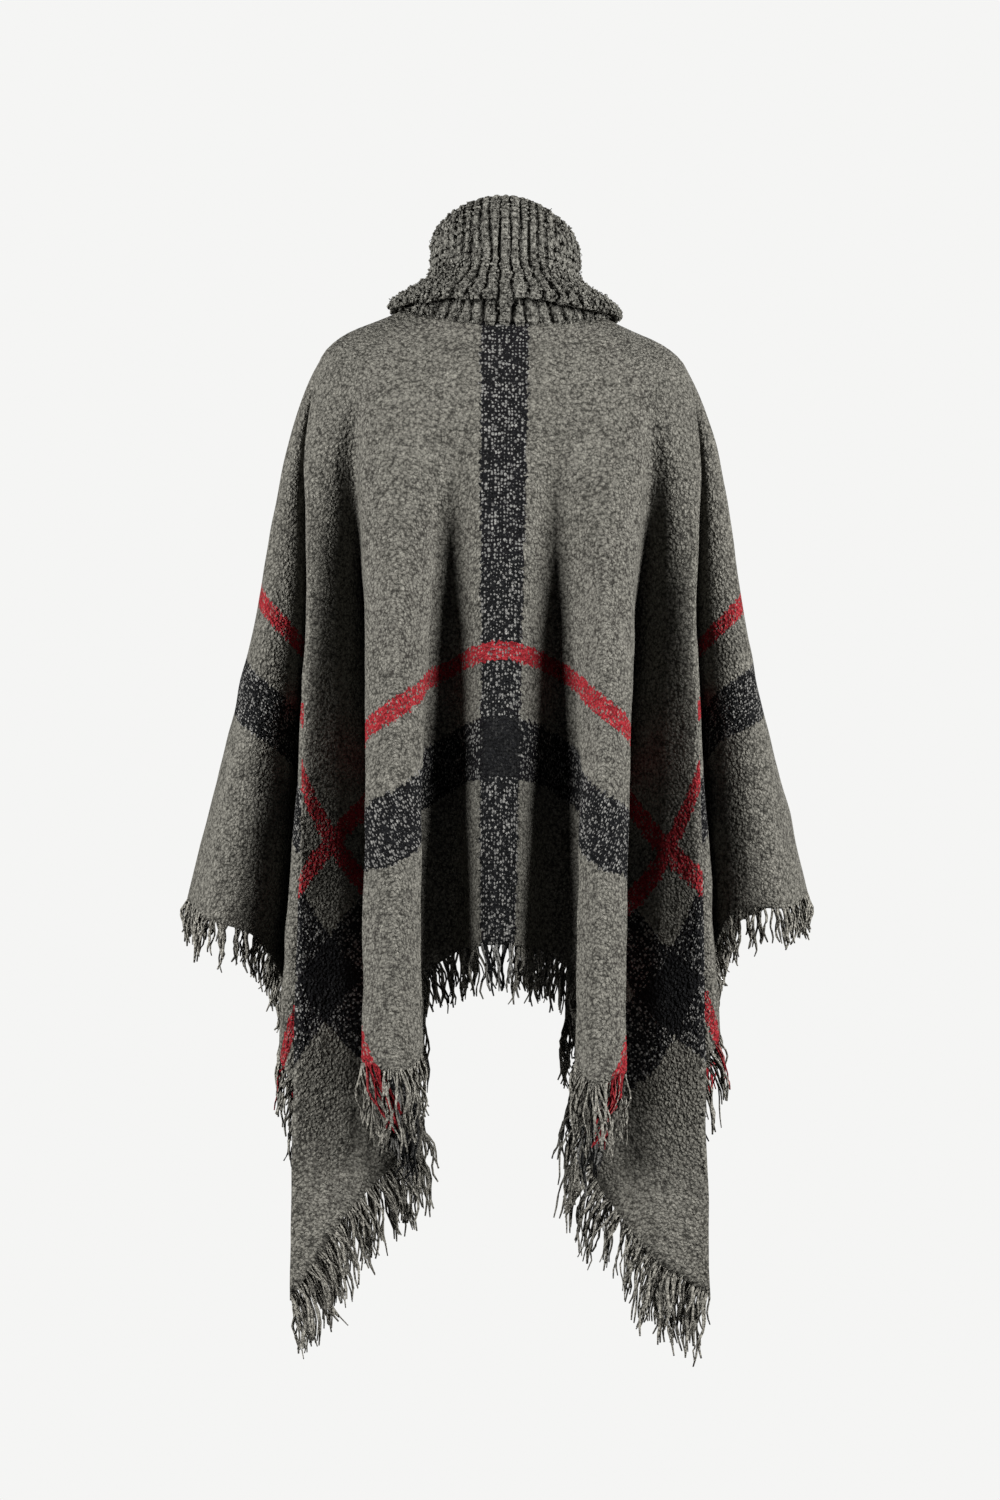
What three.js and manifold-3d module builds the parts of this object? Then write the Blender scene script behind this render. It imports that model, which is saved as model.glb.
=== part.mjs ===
// Fringed wrap poncho with a rib-knit turn-down collar, as it hangs on a wearer whose arms hang a little outwards.
// The cloth is one rectangle with a neck hole, cut here into a back and a front panel along the arm line.
// Millimetres, +Z up. The back of the garment faces -Y, and +X is the wearer's right.
// The origin is at the base of the neck, where the garment is carried.
import * as THREE from "three";
import Module from "manifold-3d";

// Flat cut of the cloth, measured from the centre of the neck hole
const CLOTH_HALF_WIDTH = 770;
const CLOTH_HALF_LENGTH = 725;
const CLOTH_WALL = 3;
const SEAM_GAP = 0.3;

// Neck seam: half width, half depth, and its height at the sides, at the back and at the front
const SEAM_HALF = [100, 74];
const SEAM_HEIGHT = { side: 3, back: -14, front: -24 };

// Outline where the cloth leaves the shoulders and starts to hang
const SHOULDER_HALF = [182, 116];
const SHOULDER_SQUARENESS = 0.77;
const SHOULDER_HEIGHT = { side: -49, back: -97, front: -112 };

// How soon a fold takes up its downward direction past the shoulder line
const HANG_LEAD = 0.62;

// Height of the middle section, in which every fold of the tables is given
const MIDDLE_HEIGHT = -325;

// Rows of the cloth grid at the neck seam, shoulder line, middle section and hem
const ROWS = { seam: 0, shoulder: 3, middle: 8, hem: 15 };
const STEPS_BETWEEN_FOLDS = 2;

// The garment leans a little to the wearer's left as it hangs, and the right shoulder is the lower one
const LEAN = 0.0113;
const SHOULDER_TILT = 0.04;

// Folds of the back, from the arm line to the centre. Angles are in degrees from the arm line.
// u and v are places on the flat cut, x is outwards, d is out from the middle of the body, z is up.
const FOLD_COLUMNS = [
  "name", "seamAngle", "shoulderAngle",
  "midU", "midV", "midX", "midD", "hemU", "hemV", "hemX", "hemD", "hemZ",
];
const BACK_FOLDS = [
  ["arm", 0, 0, 488, 0, 248, 0, CLOTH_HALF_WIDTH, 0, 309, 0, -579],
  ["wing", 4, 4, 470, 62, 238, 64, CLOTH_HALF_WIDTH, 110, 280, 90, -598],
  ["wingEnd", 8, 8, 440, 125, 207, 64, CLOTH_HALF_WIDTH, 175, 236, 78, -616],
  ["sideTrough", 12, 12, 402, 185, 182, 9, CLOTH_HALF_WIDTH, 320, 207, 8, -690],
  ["sideRidge", 16, 17, 372, 232, 190, 74, CLOTH_HALF_WIDTH, 434, 209, 86, -738],
  ["cascade", 19, 20, 358, 249, 177, 88, CLOTH_HALF_WIDTH, 600, 146, 74, -852],
  ["corner", 22, 23.5, 345, 266, 187, 108, CLOTH_HALF_WIDTH, CLOTH_HALF_LENGTH, 196, 124, -963],
  ["pointPanel", 29, 36.6, 300, 290, 160, 92, 676, CLOTH_HALF_LENGTH, 146, 122, -883],
  ["deepTrough", 35, 46.6, 252, 318, 132, 56, 570, CLOTH_HALF_LENGTH, 76, 94, -800],
  ["lobeOuter", 40, 52, 194, 354, 127, 134, 446, CLOTH_HALF_LENGTH, 127, 184, -728],
  ["lobeCrest", 48, 64, 152, 376, 99, 158, 409, CLOTH_HALF_LENGTH, 95, 210, -736],
  ["lobeInner", 59, 74, 118, 390, 77, 136, 373, CLOTH_HALF_LENGTH, 72, 180, -718],
  ["lobeBack", 64, 77.5, 96, 397, 68, 112, 300, CLOTH_HALF_LENGTH, 96, 128, -672],
  ["innerTrough", 70, 80.5, 62, 406, 46, 100, 150, CLOTH_HALF_LENGTH, 43, 98, -630],
  ["bandEdge", 77, 86.1, 27, 418, 22, 134, 28, CLOTH_HALF_LENGTH, 19, 152, -620],
  ["centre", 90, 90, 0, 422, 0, 138, 0, CLOTH_HALF_LENGTH, 0, 156, -618],
];

// How the folds of the wearer's right back differ from the table, by fold and column
const RIGHT_BACK_CHANGES = {
  wing: { hemZ: 12 },
  wingEnd: { hemZ: 24, hemX: -8 },
  sideRidge: { hemX: 6, hemZ: 22 },
  corner: { hemX: 12, hemZ: 4, hemD: -6 },
  pointPanel: { hemX: 12, hemZ: -44, hemU: 8 },
  deepTrough: { hemX: 8, hemZ: -14 },
  lobeOuter: { hemX: -6, midX: -4, hemZ: -10 },
  lobeCrest: { hemX: -2, hemZ: -12 },
  lobeInner: { hemX: 3, midX: 3, hemZ: -8 },
  innerTrough: { hemX: 5, midX: 4 },
};
// The front hangs in like folds, fuller over the chest and uneven from side to side
const LEFT_FRONT_CHANGES = {
  wingEnd: { hemX: 6, hemZ: -8 },
  sideRidge: { midX: -4, hemX: -6 },
  corner: { hemX: 8, hemZ: 10, hemD: -8 },
  deepTrough: { midD: 10, hemX: 6 },
  lobeOuter: { midD: -8, hemX: 7, hemD: -14 },
  lobeCrest: { midD: -6, hemX: 6, hemD: -12 },
  lobeInner: { hemX: 4, hemD: -6 },
  bandEdge: { midD: 6 },
  centre: { midD: 8, hemD: 4 },
};
const RIGHT_FRONT_CHANGES = {
  arm: { midX: -5, hemX: -1, hemZ: 6 },
  wing: { hemZ: 6 },
  corner: { hemX: -4, hemZ: -6 },
  lobeOuter: { midD: 4, hemX: -5, hemD: -4 },
  lobeCrest: { midD: 6, hemX: -6, hemD: -2 },
  innerTrough: { hemX: 3, midD: 4 },
  bandEdge: { midD: 6 },
  centre: { midD: 8, hemD: 4 },
};

// Collar: rib-knit tube, folded over once at the top. Its turned-down layer flares over the shoulders.
const COLLAR_WALL = 4;
const COLLAR_RIBS = 48;
const RIB_HEIGHT = 2.2;
const COLLAR_TOP = { side: 79, back: 108, front: 62 };
const COLLAR_EDGE_HEIGHT = { side: 4, back: 9, front: -12 };
const COLLAR_HALF = { tube: [70, 73], flare: [85, 79], skirt: [104, 84], edge: [112, 87] };
const FLARE_RISE = 25;
const LAYER_SLIT = 1.2;
const SEAM_STRIP_COLUMNS = 1.5;

// Fringe: unravelled yarns in locks, on a narrow strip just beyond the cloth's edge
const FRINGE_STRIP = { width: 8, thickness: 2.2, sharpGap: 2 };
const LOCK = { spacing: 33, rootRadius: 3, tipRadius: 1.3, shortest: 44, longest: 74 };
const CORNER_CLEARANCE = 6;
// Shares of a lock's length, and how far it leans out, in the order in which they are tried
const LOCK_TRIES = [[1, 0], [1, 0.15], [1, 0.3], [0.7, 0], [0.7, 0.3], [0.45, 0.2]];

const toRadians = (degrees) => (degrees * Math.PI) / 180;
const mix = (a, b, share) => a.map((value, i) => value + (b[i] - value) * share);
const minus = (a, b) => a.map((value, i) => value - b[i]);
const plus = (a, b) => a.map((value, i) => value + b[i]);
const times = (a, factor) => a.map((value) => value * factor);
const sizeOf = (a) => Math.hypot(...a);
const unit = (a) => times(a, 1 / sizeOf(a));
const dot = (a, b) => a.reduce((sum, value, i) => sum + value * b[i], 0);
const cross = (a, b) => [
  a[1] * b[2] - a[2] * b[1],
  a[2] * b[0] - a[0] * b[2],
  a[0] * b[1] - a[1] * b[0],
];

// A repeatable number from 0 to 1 for each whole number, for the uneven locks of the fringe
function uneven(index) {
  const wave = Math.sin(index * 12.9898 + 4.137) * 43758.5453;
  return wave - Math.floor(wave);
}

// Height that turns smoothly from the side to the back or the front, at an angle from the arm line
function heightAround(heights, angle, atBack, fullness = 2) {
  const towards = Math.sin(toRadians(angle)) ** fullness;
  return heights.side + ((atBack ? heights.back : heights.front) - heights.side) * towards;
}

// Smooth curve through points that are met at the given values of its parameter, a share of the way past point i.
// At each point it takes up the direction of the next stretch by the share in lead.
function curveThrough(points, at, i, share, lead = 0.5) {
  const rate = (k) => times(minus(points[k + 1], points[k]), 1 / (at[k + 1] - at[k]));
  const slope = (k) => {
    if (k === 0) return rate(0);
    if (k === points.length - 1) return rate(k - 1);
    return mix(rate(k - 1), rate(k), lead);
  };
  const span = at[i + 1] - at[i];
  const s = share;
  const startWeight = 2 * s ** 3 - 3 * s ** 2 + 1;
  const leaveWeight = (s ** 3 - 2 * s ** 2 + s) * span;
  const arriveWeight = (s ** 3 - s ** 2) * span;
  const [leave, arrive] = [slope(i), slope(i + 1)];
  return points[i].map(
    (value, k) =>
      value * startWeight + points[i + 1][k] * (1 - startWeight) +
      leave[k] * leaveWeight + arrive[k] * arriveWeight,
  );
}

// Running sums of the distances between points in space, each raised to a power
function reachAlong(points, power) {
  const at = [0];
  for (let k = 1; k < points.length; k += 1) {
    at.push(at[k - 1] + sizeOf(minus(points[k], points[k - 1]).slice(2)) ** power);
  }
  return at;
}

// One fold as a line down the cloth: at each row its place on the flat cut and in space, [u, v, x, y, z]
function foldLine(row, changes, right, atBack) {
  const fold = Object.fromEntries(FOLD_COLUMNS.map((column, i) => [column, row[i]]));
  for (const [column, change] of Object.entries(changes[fold.name] ?? {})) fold[column] += change;
  const across = right ? 1 : -1;
  const outwards = atBack ? -1 : 1;
  const onOutline = (half, angle, power, heights) => [
    half[0] * Math.cos(toRadians(angle)) ** power,
    half[1] * Math.sin(toRadians(angle)) ** power,
    heightAround(heights, angle, atBack),
  ];
  const seam = onOutline(SEAM_HALF, fold.seamAngle, 1, SEAM_HEIGHT);
  const shoulder = onOutline(SHOULDER_HALF, fold.shoulderAngle, SHOULDER_SQUARENESS, SHOULDER_HEIGHT);
  seam[2] -= seam[0] * across * SHOULDER_TILT;
  shoulder[2] -= shoulder[0] * across * SHOULDER_TILT;
  const seamFlat = seam.slice(0, 2);
  const middleFlat = [fold.midU, fold.midV];
  const overShoulder = sizeOf(minus(shoulder, seam));
  const shoulderFlat = plus(seamFlat, times(unit(minus(middleFlat, seamFlat)), overShoulder));
  const controls = [
    [...seamFlat, ...seam],
    [...shoulderFlat, ...shoulder],
    [...middleFlat, fold.midX, fold.midD, MIDDLE_HEIGHT],
    [fold.hemU, fold.hemV, fold.hemX, fold.hemD, fold.hemZ],
  ];
  const at = reachAlong(controls, 1);
  const rows = Object.values(ROWS);
  const line = [];
  for (let r = ROWS.seam; r <= ROWS.hem; r += 1) {
    const i = Math.max(0, rows.findIndex((row) => row >= r) - 1);
    const share = (r - rows[i]) / (rows[i + 1] - rows[i]);
    const [u, v, x, d, z] = curveThrough(controls, at, i, share, HANG_LEAD);
    line.push([u * across, v * outwards, x * across + z * LEAN, d * outwards, z]);
  }
  return { name: fold.name, line };
}

// All folds round the garment: from the centre back over the left arm to the centre front, and back over the right
function foldsAround() {
  const quarter = (changes, right, atBack) =>
    BACK_FOLDS.map((row) => foldLine(row, changes, right, atBack));
  const leftBack = quarter({}, false, true).reverse();
  const leftFront = quarter(LEFT_FRONT_CHANGES, false, false).slice(1);
  const rightFront = quarter(RIGHT_FRONT_CHANGES, true, false).reverse().slice(1);
  const rightBack = quarter(RIGHT_BACK_CHANGES, true, true).slice(1, -1);
  return [...leftBack, ...leftFront, ...rightFront, ...rightBack];
}

// One row of the cloth between folds a and b, as a smooth curve that turns sharply only at the cloth's corners
function between(folds, a, r, share) {
  const n = folds.length;
  const index = [a - 1, a, a + 1, a + 2].map((k) => (k + n) % n);
  const points = index.map((k) => folds[k].line[r]);
  const smooth = curveThrough(points, reachAlong(points, 0.5), 1, share);
  const straight = mix(points[1], points[2], share);
  const down = r / ROWS.hem;
  const touchesCorner = folds[index[1]].name === "corner" || folds[index[2]].name === "corner";
  const placed = touchesCorner ? mix(smooth, straight, down ** 4) : smooth;
  const flat = mix(smooth, straight, down ** 3);
  return [flat[0], flat[1], placed[2], placed[3], placed[4]];
}

// The cloth's middle surface: columns round the garment, each a list of rows from the neck seam to the hem
function clothGrid() {
  const folds = foldsAround();
  const columns = [];
  const marks = {};
  folds.forEach((fold, a) => {
    const mark = (marks[fold.name] ??= []);
    mark.push(columns.length);
    for (let step = 0; step < STEPS_BETWEEN_FOLDS; step += 1) {
      const share = step / STEPS_BETWEEN_FOLDS;
      columns.push(fold.line.map((_, r) => (step ? between(folds, a, r, share) : fold.line[r])));
    }
  });
  return { columns, marks };
}

// Unit normals of the middle surface, facing out
function normalsOf(columns) {
  const n = columns.length;
  return columns.map((column, c) =>
    column.map((_, r) => {
      const next = columns[(c + 1) % n][r];
      const last = columns[(c - 1 + n) % n][r];
      const below = column[Math.min(r + 1, ROWS.hem)];
      const above = column[Math.max(r - 1, 0)];
      const along = minus(next, last).slice(2);
      const down = minus(below, above).slice(2);
      return unit(cross(down, along));
    }),
  );
}

// Splits a four-cornered face along its shorter diagonal
function addQuad({ points, faces }, a, b, c, d) {
  const length = (i, k) => sizeOf(minus(points[i], points[k]));
  if (length(a, c) <= length(b, d)) faces.push([a, b, c], [a, c, d]);
  else faces.push([a, b, d], [b, c, d]);
}

// A mesh from loops of points, each joined to the next and, for a ring, the last to the first
function loftedSolid(loops, ring) {
  const size = loops[0].length;
  const solid = { points: loops.flat(), faces: [] };
  const last = ring ? loops.length : loops.length - 1;
  for (let i = 0; i < last; i += 1) {
    const here = i * size;
    const there = ((i + 1) % loops.length) * size;
    for (let k = 0; k < size; k += 1) {
      const k2 = (k + 1) % size;
      addQuad(solid, here + k, there + k, there + k2, here + k2);
    }
  }
  return solid;
}

// Closes the two ends of a wall, whose loops go down its outside and back up its inside
function addWallEnds(solid, loopCount, size) {
  for (const [loop, turned] of [[0, false], [loopCount - 1, true]]) {
    const base = loop * size;
    for (let r = 0; r < size / 2 - 1; r += 1) {
      const corners = [base + r, base + r + 1, base + size - 2 - r, base + size - 1 - r];
      addQuad(solid, ...(turned ? corners.reverse() : corners));
    }
  }
  return solid;
}

// One panel of the cloth: a wall over the columns from first to last
function panelSolid(columns, normals, first, last) {
  const n = columns.length;
  const loops = [];
  for (let c = first; c <= last; c += 1) {
    const here = ((c % n) + n) % n;
    const towards = c === first ? (here + 1) % n : (here - 1 + n) % n;
    const atEdge = c === first || c === last;
    const outer = [];
    const inner = [];
    columns[here].forEach((point, r) => {
      let place = point.slice(2);
      if (atEdge) {
        const inwards = unit(minus(columns[towards][r], point).slice(2));
        place = plus(place, times(inwards, SEAM_GAP / 2));
      }
      const normal = normals[here][r];
      outer.push(plus(place, times(normal, CLOTH_WALL / 2)));
      inner.push(plus(place, times(normal, -CLOTH_WALL / 2)));
    });
    loops.push([...outer, ...inner.reverse()]);
  }
  return addWallEnds(loftedSolid(loops, false), loops.length, loops[0].length);
}

// Collar section at one angle round the neck: a closed loop, up the outside, over the fold and down the inside
function collarSection(angle, rib) {
  const atBack = Math.sin(angle) < 0;
  const degrees = (Math.abs(Math.asin(Math.sin(angle))) * 180) / Math.PI;
  const seamZ = heightAround(SEAM_HEIGHT, degrees, atBack) + 2;
  const topZ = heightAround(COLLAR_TOP, degrees, atBack, 1.5);
  const edgeZ = heightAround(COLLAR_EDGE_HEIGHT, degrees, atBack);
  const flareZ = edgeZ + FLARE_RISE;
  const at = (half, out, z) => {
    const x = (half[0] + out) * Math.cos(angle);
    return [x, (half[1] + out) * Math.sin(angle), z - x * SHOULDER_TILT];
  };
  const { tube, flare, skirt, edge } = COLLAR_HALF;
  const wall = COLLAR_WALL;
  const stand = -wall - LAYER_SLIT;
  const rise = (share) => flareZ + (topZ - flareZ) * share;
  return [
    // Outside of the turned-down layer, from its lower edge up to the fold
    at(edge, rib, edgeZ + 4),
    at(skirt, rib, edgeZ + 12),
    at(flare, rib * 0.8, flareZ - 2),
    at(tube, rib + 2.5, rise(0.2)),
    at(tube, rib + 0.5, rise(0.75)),
    at(tube, rib * 0.6 - 2.5, topZ),
    // Inside of the standing layer, down to the neck seam
    at(tube, stand - wall + 0.5, topZ - 2.5),
    at(tube, stand - wall, rise(0.15)),
    at(flare, -wall * 1.5, flareZ - 13),
    at(SEAM_HALF, -wall / 2, seamZ),
    // Outside of the standing layer, up into the slit
    at(SEAM_HALF, wall / 2 + rib * 0.7, seamZ),
    at(flare, -wall / 2, flareZ - 10),
    at(tube, stand, rise(0.15)),
    at(tube, stand - 0.5, topZ - 8),
    // Inside of the turned-down layer, down to its lower edge
    at(tube, -wall + 0.5, topZ - 9),
    at(tube, -wall + 2, rise(0.15)),
    at(flare, -wall + 0.5, flareZ - 7),
    at(skirt, -wall, edgeZ + 8.5),
    at(edge, -1.5, edgeZ),
  ];
}

// The collar, with a rib at every other column and a raised seam strip down the centre back
function collarSolid() {
  const count = COLLAR_RIBS * 2;
  const loops = [];
  for (let i = 0; i < count; i += 1) {
    const onStrip = Math.abs(i - count * 0.75) <= SEAM_STRIP_COLUMNS;
    const rib = onStrip || i % 2 === 1 ? RIB_HEIGHT : 0;
    loops.push(collarSection((i / count) * 2 * Math.PI, rib));
  }
  return loftedSolid(loops, true);
}

// Hem points between two columns, each with the cloth's normal and the direction in which the cloth would go on.
// That direction is square to the hem, and turns to the fold itself where the hem is folded sharply.
function hemRun(columns, normals, first, last) {
  const n = columns.length;
  const wrap = (c) => ((c % n) + n) % n;
  const placeOf = (c) => columns[wrap(c)][ROWS.hem].slice(2);
  const run = [];
  for (let c = first; c <= last; c += 1) {
    const place = placeOf(c);
    const before = c > first ? unit(minus(place, placeOf(c - 1))) : unit(minus(placeOf(c + 1), place));
    const after = c < last ? unit(minus(placeOf(c + 1), place)) : before;
    const down = unit(minus(place, columns[wrap(c)][ROWS.hem - 1].slice(2)));
    const normal = normals[wrap(c)][ROWS.hem];
    const square = unit(cross(plus(before, after), normal));
    const sharpness = Math.min(1, (1 - dot(before, after)) / 0.8);
    const gap = SEAM_GAP + FRINGE_STRIP.sharpGap * sharpness;
    run.push({ place, onwards: unit(mix(square, down, sharpness)), normal, gap });
  }
  for (const [from, to] of [[run[0], run[1]], [run[run.length - 1], run[run.length - 2]]]) {
    from.place = plus(from.place, times(unit(minus(to.place, from.place)), CORNER_CLEARANCE));
    from.onwards = to.onwards;
    from.normal = to.normal;
    from.gap = SEAM_GAP + FRINGE_STRIP.sharpGap;
  }
  return run;
}

// The strip that carries one edge's locks
function stripSolid(run) {
  const { width, thickness } = FRINGE_STRIP;
  const loops = run.map(({ place, onwards, normal, gap }) => {
    const corner = (out, side) =>
      plus(plus(place, times(onwards, out)), times(normal, side * thickness / 2));
    return [corner(gap, 1), corner(width, 1), corner(width, -1), corner(gap, -1)];
  });
  const solid = loftedSolid(loops, false);
  return addWallEnds(solid, loops.length, 4);
}

// One lock: a three-sided taper from inside the strip, that turns down as it hangs and stands out by a lean
function lockSolid({ place, onwards, normal }, index, length, lean) {
  const sway = (uneven(index + 500) - 0.5) * 0.24;
  const across = unit(cross(onwards, normal));
  const outwards = unit([place[0], place[1], 0]);
  const turning = (own, fall, side) =>
    unit([
      onwards[0] * own + across[0] * side + outwards[0] * lean,
      onwards[1] * own + across[1] * side + outwards[1] * lean,
      onwards[2] * own + across[2] * side - fall,
    ]);
  const root = plus(place, times(onwards, FRINGE_STRIP.width * 0.5));
  const knee = plus(root, times(turning(0.75, 0.5, sway), length * 0.45));
  const tip = plus(knee, times(turning(0.5, 0.8, -sway), length * 0.55));
  const ring = (centre, radius) =>
    [0, 1, 2].map((k) => {
      const turn = (k / 3) * 2 * Math.PI;
      return plus(centre, plus(times(normal, Math.cos(turn) * radius), times(across, Math.sin(turn) * radius)));
    });
  const loops = [
    ring(root, FRINGE_STRIP.thickness * 0.25),
    ring(knee, LOCK.rootRadius),
    ring(tip, LOCK.tipRadius),
  ];
  const solid = loftedSolid(loops, false);
  solid.faces.push([0, 1, 2], [8, 7, 6]);
  return solid;
}

// Where the locks of one edge stand, evenly along its hem
function lockStands(run) {
  const reach = [0];
  for (let i = 1; i < run.length; i += 1) {
    reach.push(reach[i - 1] + sizeOf(minus(run[i].place, run[i - 1].place)));
  }
  const total = reach[reach.length - 1];
  const count = Math.floor((total - LOCK.spacing / 2) / LOCK.spacing);
  const stands = [];
  let i = 0;
  for (let k = 0; k <= count; k += 1) {
    const along = LOCK.spacing / 4 + (k * (total - LOCK.spacing / 2)) / count;
    while (i < run.length - 2 && reach[i + 1] < along) i += 1;
    const share = (along - reach[i]) / (reach[i + 1] - reach[i]);
    stands.push({
      place: mix(run[i].place, run[i + 1].place, share),
      onwards: unit(mix(run[i].onwards, run[i + 1].onwards, share)),
      normal: unit(mix(run[i].normal, run[i + 1].normal, share)),
    });
  }
  return stands;
}

const wasm = await Module();
wasm.setup();

function manifoldOf({ points, faces }) {
  const triVerts = new Uint32Array(faces.flat());
  const vertProperties = new Float32Array(points.flat());
  const made = new wasm.Manifold(new wasm.Mesh({ numProp: 3, vertProperties, triVerts }));
  if (made.volume() > 0) return made;
  const turned = new Uint32Array(faces.flatMap(([a, b, c]) => [a, c, b]));
  return new wasm.Manifold(new wasm.Mesh({ numProp: 3, vertProperties, triVerts: turned }));
}

// One edge's strip with its locks. A lock that would touch what hangs beside it leans out, or is shorter.
function fringeSolid(run, seed, neighbours) {
  const strip = manifoldOf(stripSolid(run));
  const locks = [];
  lockStands(run).forEach((stand, k) => {
    const length = LOCK.shortest + (LOCK.longest - LOCK.shortest) * uneven(seed + k);
    for (const [share, lean] of LOCK_TRIES) {
      const lock = manifoldOf(lockSolid(stand, seed + k, length * share, lean));
      if (neighbours.every((other) => lock.intersect(other).isEmpty())) {
        locks.push(lock);
        return;
      }
    }
  });
  return wasm.Manifold.union([strip, ...locks]).simplify(0.03);
}

function meshOf(name, solid, material) {
  const { vertProperties, triVerts } = solid.getMesh();
  const geometry = new THREE.BufferGeometry();
  geometry.setAttribute("position", new THREE.BufferAttribute(vertProperties, 3));
  geometry.setIndex(new THREE.BufferAttribute(triVerts, 1));
  const flat = geometry.toNonIndexed();
  flat.computeVertexNormals();
  const mesh = new THREE.Mesh(flat, material);
  mesh.name = name;
  return mesh;
}

const finish = (color, roughness) => new THREE.MeshStandardMaterial({ color, roughness, metalness: 0 });
const CLOTH = finish(0x7c7972, 0.95);
const RIB_KNIT = finish(0x716e68, 0.95);
const YARN = finish(0x6f6b64, 0.95);

const { columns, marks } = clothGrid();
const normals = normalsOf(columns);
const around = columns.length;
const [leftArm, rightArm] = marks.arm;
const [leftBackCorner, leftFrontCorner, rightFrontCorner, rightBackCorner] = marks.corner;

const clothFront = manifoldOf(panelSolid(columns, normals, leftArm, rightArm));
const clothBack = manifoldOf(panelSolid(columns, normals, rightArm - around, leftArm));
const poncho = new THREE.Group();
poncho.add(
  meshOf("cloth_front", clothFront, CLOTH),
  meshOf("cloth_back", clothBack, CLOTH),
  meshOf("collar", manifoldOf(collarSolid()), RIB_KNIT),
);
const edges = {
  fringe_back: [rightBackCorner - around, leftBackCorner],
  fringe_left: [leftBackCorner, leftFrontCorner],
  fringe_front: [leftFrontCorner, rightFrontCorner],
  fringe_right: [rightFrontCorner, rightBackCorner],
};
const placed = [clothFront, clothBack];
Object.entries(edges).forEach(([name, [first, last]], k) => {
  const fringe = fringeSolid(hemRun(columns, normals, first, last), 1000 * (k + 1), placed);
  placed.push(fringe);
  poncho.add(meshOf(name, fringe, YARN));
});

export default poncho;
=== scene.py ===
"""A fringed check poncho with a rib-knit turn-down collar, hanging as on a wearer. Its back faces -Y."""

import bpy
import numpy as np
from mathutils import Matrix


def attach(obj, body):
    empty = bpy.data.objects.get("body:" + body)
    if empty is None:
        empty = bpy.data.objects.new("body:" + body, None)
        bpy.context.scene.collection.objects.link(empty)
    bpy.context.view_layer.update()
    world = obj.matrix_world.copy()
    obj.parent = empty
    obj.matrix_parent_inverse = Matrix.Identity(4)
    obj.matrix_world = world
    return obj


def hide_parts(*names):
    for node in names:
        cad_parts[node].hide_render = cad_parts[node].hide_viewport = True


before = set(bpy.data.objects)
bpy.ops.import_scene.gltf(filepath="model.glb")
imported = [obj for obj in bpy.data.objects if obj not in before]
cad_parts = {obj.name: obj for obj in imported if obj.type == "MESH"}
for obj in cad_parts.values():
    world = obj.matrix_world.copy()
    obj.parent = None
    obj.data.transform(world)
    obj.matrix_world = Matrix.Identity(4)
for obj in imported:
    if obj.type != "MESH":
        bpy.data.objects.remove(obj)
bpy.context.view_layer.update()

# Sizes in the tables and the drape are in millimetres, and meshes are made in metres
MM = 0.001

# Flat cut of the cloth, measured from the centre of the neck hole
CLOTH_HALF_WIDTH = 770
CLOTH_HALF_LENGTH = 725
CLOTH_WALL = 3.0

# Neck seam and the outline of the shoulders
SEAM_HALF = (100, 74)
SEAM_HEIGHT = {"side": 3, "back": -14, "front": -24}
SHOULDER_HALF = (182, 116)
SHOULDER_SQUARENESS = 0.77
SHOULDER_HEIGHT = {"side": -49, "back": -97, "front": -112}
HANG_LEAD = 0.62
MIDDLE_HEIGHT = -325
LEAN = 0.0113
SHOULDER_TILT = 0.04

# Height levels of the drape at the neck seam, shoulder line, middle section and hem, and steps between them
LEVELS = (0, 3, 8, 15)
LEVEL_STEPS = (20, 64, 96)
COLUMN_PITCH = 6.6

# Folds of the back, from the arm line to the centre. Angles are in degrees from the arm line.
# u and v are places on the flat cut, x is outwards, d is out from the middle of the body, z is up.
FOLD_COLUMNS = (
    "name", "seam_angle", "shoulder_angle",
    "mid_u", "mid_v", "mid_x", "mid_d", "hem_u", "hem_v", "hem_x", "hem_d", "hem_z",
)
BACK_FOLDS = (
    ("arm", 0, 0, 488, 0, 248, 0, 770, 0, 309, 0, -579),
    ("wing", 4, 4, 470, 62, 238, 64, 770, 110, 280, 90, -598),
    ("wing_end", 8, 8, 440, 125, 207, 64, 770, 175, 236, 78, -616),
    ("side_trough", 12, 12, 402, 185, 182, 9, 770, 320, 207, 8, -690),
    ("side_ridge", 16, 17, 372, 232, 190, 74, 770, 434, 209, 86, -738),
    ("cascade", 19, 20, 358, 249, 177, 88, 770, 600, 146, 74, -852),
    ("corner", 22, 23.5, 345, 266, 187, 108, 770, 725, 196, 124, -963),
    ("point_panel", 29, 36.6, 300, 290, 160, 92, 676, 725, 146, 122, -883),
    ("deep_trough", 35, 46.6, 252, 318, 132, 56, 570, 725, 76, 94, -800),
    ("lobe_outer", 40, 52, 194, 354, 127, 134, 446, 725, 127, 184, -728),
    ("lobe_crest", 48, 64, 152, 376, 99, 158, 409, 725, 95, 210, -736),
    ("lobe_inner", 59, 74, 118, 390, 77, 136, 373, 725, 72, 180, -718),
    ("lobe_back", 64, 77.5, 96, 397, 68, 112, 300, 725, 96, 128, -672),
    ("inner_trough", 70, 80.5, 62, 406, 46, 100, 150, 725, 43, 98, -630),
    ("band_edge", 77, 86.1, 27, 418, 22, 134, 28, 725, 19, 152, -620),
    ("centre", 90, 90, 0, 422, 0, 138, 0, 725, 0, 156, -618),
)

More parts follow.
